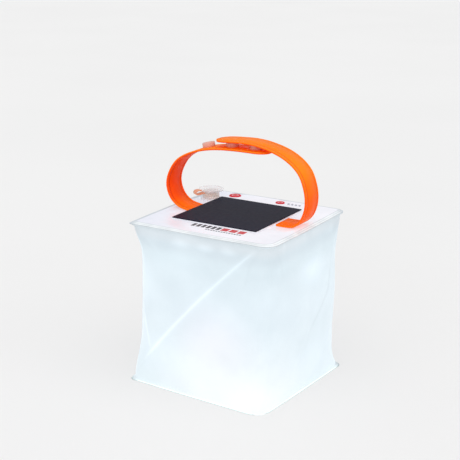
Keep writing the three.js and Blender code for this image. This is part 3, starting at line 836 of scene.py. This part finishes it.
def silicone():
    """Orange silicone, deeper inside the handle and low on its outside, where less light gets to it."""
    n = Nodes("silicone")
    outer = n.ramp(
        n.math("MULTIPLY", n.axis("Z"), 4.0),
        [
            (0.64, (0.96, 0.182, 0.001)),
            (0.68, (0.97, 0.112, 0.001)),
            (0.73, (0.97, 0.118, 0.001)),
            (0.77, (0.97, 0.160, 0.001)),
            (0.85, (0.96, 0.235, 0.006)),
            (0.92, (0.95, 0.225, 0.008)),
        ],
    )
    outer = n.scale_colour(outer, n.level(n.noise(40, 4), 0.3, 0.7, 0.97, 1.03))
    inner = n.ramp(n.noise(40, 4), [(0.3, (0.94, 0.07, 0.0)), (0.7, (0.99, 0.085, 0.001))])
    turned_in = n.math("MULTIPLY", n.attribute("inner"), n.level(n.axis("Z"), 0.161, 0.184))
    colour = n.mix(turned_in, outer, inner)
    # Painted shade along the grooves by the straps' edges.
    colour = n.mix(n.math("MULTIPLY", n.attribute("groove"), 0.8), colour, (0.6, 0.04, 0.0, 1))
    rough = n.level(n.noise(220, 3), 0.3, 0.7, 0.45, 0.58)
    n.set(Base_Color=colour, Roughness=rough, Specular_IOR_Level=0.11)
    # A faint painted red glow, standing in for light scattered inside the silicone.
    glow = n.ramp(n.noise(60, 3), [(0.3, (0.08, 0.0, 0.0)), (0.7, (0.11, 0.0, 0.0))])
    n.set(Emission_Color=glow, Emission_Strength=1.0)
    n.relief(n.noise(1400, 2, 0.5), 0.1, 0.0001)
    return n.material


# ---------------------------------------------------------------- snaps
def strap_height(line, x):
    """The height of a strap's centre line over a place on the X axis, in its part across the handle."""
    dense = [spline_point(line, k / 400) for k in range(401)]
    high_part = [p for p in dense if p[1] > 200]
    return min(high_part, key=lambda p: abs(p[0] - x))[1]


def on_strap(line, x):
    """How a snap half leans and where it stands: a rotation and a place on the strap's centre line."""
    rise = strap_height(line, x + 3) - strap_height(line, x - 3)
    return Matrix.Rotation(-math.atan(rise / 6), 3, "Y"), Vector((x, 0, strap_height(line, x)))


# Where the snaps stand on the X axis. The first one is free.
SNAPS = (-33.5, -8.5, 16.5)
# Profiles of the two snap halves: radius, and height over the centre line of the strap they sit in.
SOCKET = [
    (0, 1.02), (5.9, 1.02), (6.0, 1.2), (6.0, 4.7), (5.85, 5.2), (5.4, 5.5), (4.4, 5.55), (3.7, 5.35),
    (3.3, 4.9), (2.1, 2.9), (1.8, 2.75), (0, 2.75),
]
STUD = [(0, -3.25), (0.9, -3.2), (1.3, -2.8), (1.6, -2.0), (2.5, -1.3), (2.6, -1.02), (0, -1.02)]


def snap_half(name, line, x, profile, material, body, node):
    """One half of a snap, in its strap at a place on the X axis."""
    lean, spot = on_strap(line, x)
    obj = lathe(name, profile, lambda p: lean @ p + spot, material, body)
    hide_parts(node)


def snaps():
    """Three sockets on the lower strap, and two studs under the upper one that sit in two of them."""
    plastic = clear_plastic("snap_plastic", (0.86, 0.47, 0.38), rough=0.3, solid=0.85)
    for k, x in enumerate(SNAPS):
        node = f"snap_socket_{k + 1}"
        snap_half(f"socket_{k + 1}", LEFT_LINE, x, SOCKET, plastic, "strap_left", node)
    for k, x in enumerate(SNAPS[1:]):
        node = f"snap_stud_{k + 1}"
        snap_half(f"stud_{k + 1}", RIGHT_LINE, x, STUD, plastic, "strap_right", node)


# ---------------------------------------------------------------- the valve
def clear_plastic(name, tint, rough=0.2, solid=0.4):
    """Soft see-through plastic. Solid is how much of what lies behind it is hidden."""
    n = Nodes(name)
    n.set(Base_Color=n.ramp(n.noise(70, 3), [(0.3, tuple(c * 0.95 for c in tint)), (0.7, tint)]))
    n.set(Roughness=n.level(n.noise(180, 3), 0.3, 0.7, rough, rough + 0.1), IOR=1.42)
    n.set(Alpha=n.level(n.noise(50, 2), 0.3, 0.7, solid - 0.04, solid + 0.04))
    n.relief(n.noise(500, 2), 0.06, 0.0002)
    return n.material


# The valve's band points this way. Its profiles are radius and height.
VALVE_TURN = Matrix.Rotation(math.radians(-30), 3, "Z")
COLLAR = [
    (8.6, 157.8), (10.45, 157.8), (10.6, 157.95), (10.55, 158.35), (10.3, 158.75), (9.9, 159.1),
    (9.6, 159.2), (8.7, 159.2), (8.6, 159.1), (8.6, 157.8),
]
TUBE = [
    (6, 152.1), (9.2, 152), (9.4, 152.3), (9.3, 153.1), (8.1, 153.6), (8, 154.2), (8, 159.3), (8.3, 159.6),
    (8.3, 160.1), (8, 160.4), (8, 161.2), (8.3, 161.5), (8.3, 162), (8, 162.3), (8, 163.4), (8.2, 164),
    (8.2, 165.3), (8, 165.65), (6.3, 165.7), (6, 165.4), (6, 152.1),
]
LID = [
    (0, 163.5), (4.3, 163.5), (4.7, 163.9), (5.4, 165.3), (5.55, 165.95), (11.6, 166), (12.1, 166.2),
    (12.2, 166.7), (12.2, 167.6), (12.05, 168.1), (11.6, 168.3), (11.1, 168.25), (10.7, 167.8),
    (10.4, 167.35), (9.8, 167.25), (3.2, 167.3), (2.4, 167.5), (0, 167.6),
]
# The cap's band, from the stem out and up to the cap: distance from the valve's axis, and height. Its section
# is a distance across and a side of its centre line.
BAND = [
    (8.1, 164.6), (11.5, 164.0), (15, 163.5), (17.5, 164.0), (18.2, 165.6), (17.0, 167.2), (14.6, 167.6),
    (11.9, 167.3),
]
BAND_SECTION = [(-3, 0.5), (-2.7, 1), (2.7, 1), (3, 0.5), (3, -0.5), (2.7, -1), (-2.7, -1), (-3, -0.5)]
BAND_STEPS = 40
BAND_THICK = 1.1
# Two places on the band: across and along from the valve's axis, and height.
BAND_BEND = ((0, -17, 165.3), (0, -17, 167.1))


def on_valve(p):
    """Moves a point from the valve's own axis to its place on the film."""
    return VALVE_TURN @ p + Vector((*VALVE, 0))


def valve_lathe(name, profile, material, body, node):
    """A turned piece on the valve's axis."""
    obj = lathe(name, profile, on_valve, material, body)
    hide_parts(node)


def valve_band():
    """The loop between the stem and the cap."""
    rings = []
    for k in range(BAND_STEPS + 1):
        reach, z = spline_point(BAND, k / BAND_STEPS)
        r0, z0 = spline_point(BAND, max(k - 0.5, 0) / BAND_STEPS)
        r1, z1 = spline_point(BAND, min(k + 0.5, BAND_STEPS) / BAND_STEPS)
        step = math.hypot(r1 - r0, z1 - z0)
        nr, nz = -(z1 - z0) / step * BAND_THICK / 2, (r1 - r0) / step * BAND_THICK / 2
        section = [Vector((across, -(reach + nr * side), z + nz * side)) for across, side in BAND_SECTION]
        rings.append([on_valve(p) for p in section])
    points, faces = loft(rings, cap=True)
    plastic = clear_plastic("valve_band", (0.95, 0.40, 0.20), 0.2, 0.78)
    band = mesh_object("valve_band", points, faces, plastic, None)
    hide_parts("valve_tether")
    start, end = (tuple(on_valve(Vector(place)) * MM) for place in BAND_BEND)
    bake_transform(band)
    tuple(start)
    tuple(end)


def valve():
    """The valve's ring, stem and cap, and the band that holds the cap."""
    clear = clear_plastic("valve_clear", (0.93, 0.93, 0.95), rough=0.12, solid=0.4)
    smoky = clear_plastic("valve_smoky", (0.84, 0.70, 0.61), rough=0.25, solid=0.5)
    valve_lathe("valve_collar", COLLAR, clear, "top", "valve_base")
    valve_lathe("valve_tube", TUBE, smoky, "valve_stem", "valve_stem")
    valve_lathe("valve_lid", LID, clear, "valve_cap", "valve_cap")
    valve_band()


# ---------------------------------------------------------------- buttons and indicators
def red_rubber(name, centre, ring):
    """Red rubber with a pale printed ring. The ring's radius is in millimetres."""
    n = Nodes(name)
    red = n.ramp(n.noise(90, 3), [(0.3, linear(200, 16, 38)), (0.7, linear(216, 22, 48))])
    back = (-centre[0] * MM, -centre[1] * MM, 0)
    flat = n.add("ShaderNodeMapping", Vector=n.place(), Location=back, Scale=(1, 1, 0))
    away = n.tree.nodes.new("ShaderNodeVectorMath")
    away.operation = "LENGTH"
    n.feed(away.inputs[0], flat.outputs[0])
    pale = inside(n, away.outputs["Value"], ring - 0.45, ring + 0.45)
    n.set(Base_Color=n.mix(n.math("MULTIPLY", pale, 0.75), red, (*linear(240, 205, 210), 1)))
    n.set(Roughness=n.level(n.noise(220, 3), 0.3, 0.7, 0.42, 0.55), Specular_IOR_Level=0.3)
    n.relief(n.noise(900, 2), 0.1, 0.0001)
    return n.material


def round_piece(name, node, profile, material, body):
    """An upright turned piece in the place of a CAD piece."""
    middle = Vector((*middle_of(node), 0))
    obj = lathe(name, profile, lambda p: p + middle, material, body)
    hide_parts(node)


def buttons():
    """The two buttons, and the four light pipes of the charge indicators."""
    for node, radius, ring in (("power_button", 6.0, 3.1), ("check_button", 4.5, 2.2)):
        low, high = (v.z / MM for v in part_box(node))
        profile = [
            (0, low), (radius, low), (radius, high - 0.75), (radius - 0.12, high - 0.4),
            (radius - 0.45, high - 0.2), (radius - 1.0, high - 0.15), (radius - 2.0, high - 0.3),
            (0, high - 0.35),
        ]
        name = node.split("_")[0] + "_key"
        round_piece(name, node, profile, red_rubber(name, middle_of(node), ring), node)
    lens = clear_plastic("smoke_lens", linear(184, 189, 200), 0.2, 0.9)
    for k in range(4):
        node = f"indicator_{k + 1}"
        low, high = (v.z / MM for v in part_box(node))
        profile = [(0, low), (1.1, low), (1.1, high - 0.35), (0.9, high - 0.1), (0.5, high), (0, high)]
        round_piece(f"light_pipe_{k + 1}", node, profile, lens, "top")


# ---------------------------------------------------------------- pieces that keep their CAD shape
# Width of one cell of the solar panel.
CELL = 20.6


def solar_laminate():
    """Near-black cells under a matt laminate, with fine lines between them."""
    n = Nodes("solar_laminate")
    base = n.ramp(n.noise(400, 3, 0.5), [(0.3, linear(26, 27, 45)), (0.7, linear(28, 29, 47))])
    lines = None
    for which in ("X", "Y"):
        step = n.math("MODULO", n.math("ADD", n.axis(which), 10 * CELL * MM), CELL * MM)
        on = inside(n, step, CELL / 2 - 0.25, CELL / 2 + 0.25, 0.1)
        lines = on if lines is None else n.math("MAXIMUM", lines, on)
    n.set(Base_Color=n.mix(n.math("MULTIPLY", lines, 0.35), base, (*linear(24, 24, 34), 1)))
    n.set(Roughness=n.level(n.noise(300, 3), 0.3, 0.7, 0.5, 0.54), Specular_IOR_Level=0.08)
    n.relief(n.noise(900, 2, 0.5), 0.02, 0.0001)
    return n.material


def board_green():
    """Green solder mask with faint tracks under it."""
    n = Nodes("board_green")
    base = n.ramp(n.noise(60, 4), [(0.3, linear(18, 78, 48)), (0.7, linear(28, 96, 60))])
    tracks = n.ramp(n.noise(900, 1, 0.3, (1, 0.12, 1)), [(0.48, (0, 0, 0)), (0.52, (1, 1, 1))])
    n.set(Base_Color=n.mix(n.math("MULTIPLY", tracks, 0.25), base, (*linear(60, 140, 90), 1)))
    n.set(Roughness=n.level(n.noise(200, 3), 0.3, 0.7, 0.35, 0.5))
    n.relief(tracks, 0.15, 0.0001)
    return n.material


def brushed_foil():
    """The lithium cell's slightly dented foil."""
    n = Nodes("cell_foil")
    grain = n.noise(300, 4, 0.6, (1, 12, 1))
    shine = n.ramp(grain, [(0.3, linear(170, 173, 180)), (0.7, linear(205, 207, 213))])
    n.set(Base_Color=shine, Metallic=0.9)
    n.set(Roughness=n.level(grain, 0.3, 0.7, 0.25, 0.42))
    n.relief(n.noise(80, 5, 0.6), 0.3, 0.0005)
    return n.material


def dress(material, *nodes, edge=0.15):
    """Gives CAD pieces a material, and takes the sharpness off their edges."""
    for node in nodes:
        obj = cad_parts[node]
        obj.data.materials.clear()
        obj.data.materials.append(material)
        soften(obj, edge)


def kept_pieces():
    """Materials for the panel and for everything inside."""
    leds = [f"led_{k + 1}" for k in range(10)]
    white = moulded("white_plastic", (238, 238, 243), 0.38)
    black = moulded("black_plastic", (30, 30, 33), 0.5, vary=0.15)
    dress(solar_laminate(), "solar_panel", edge=0.2)
    dress(white, "panel_bezel", "housing_tray", "strip_tray", edge=0.25)
    dress(clear_plastic("lens_plastic", (0.93, 0.95, 0.96), 0.25, 0.3), "housing_lens")
    dress(clear_plastic("flap_film", (0.9, 0.88, 0.86), 0.2, 0.5), "valve_flap")
    dress(black, "tray_bond_ring", "battery_pad", "charge_chip", "charge_coil", "ribbon_socket")
    dress(black, "power_switch", "check_switch")
    dress(board_green(), "circuit_board", "strip_board")
    dress(brushed_foil(), "battery_cell", edge=0.4)
    dress(moulded("led_white", (246, 249, 255), 0.3, vary=0.03), *leds)
    copper = moulded("copper_film", (184, 120, 60), 0.4, grain=500, vary=0.12)
    dress(copper, "ribbon_cable", edge=0.05)


# ---------------------------------------------------------------- assembly
film_sleeve(lit_film())
top = film_sheet("top_film", (14, 8, 8, 4), top_height, printed_film(), "top", 0.9)
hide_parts("top_sheet")
# Like the sleeve, it throws no shadow on the floor.
top.visible_shadow = False
bottom = film_sheet("bottom_film", (16, 7, 10, 6), bottom_height, rim_film(), "bottom", 0.6, -REST_TWIST)
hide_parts("bottom_sheet")
rubber = silicone()
strap("strap_lower", LEFT_LINE, rubber, ("strap_left_root", "strap_left"))
strap("strap_upper", RIGHT_LINE, rubber, ("strap_right_root", "strap_right"))
snaps()
valve()
buttons()
kept_pieces()
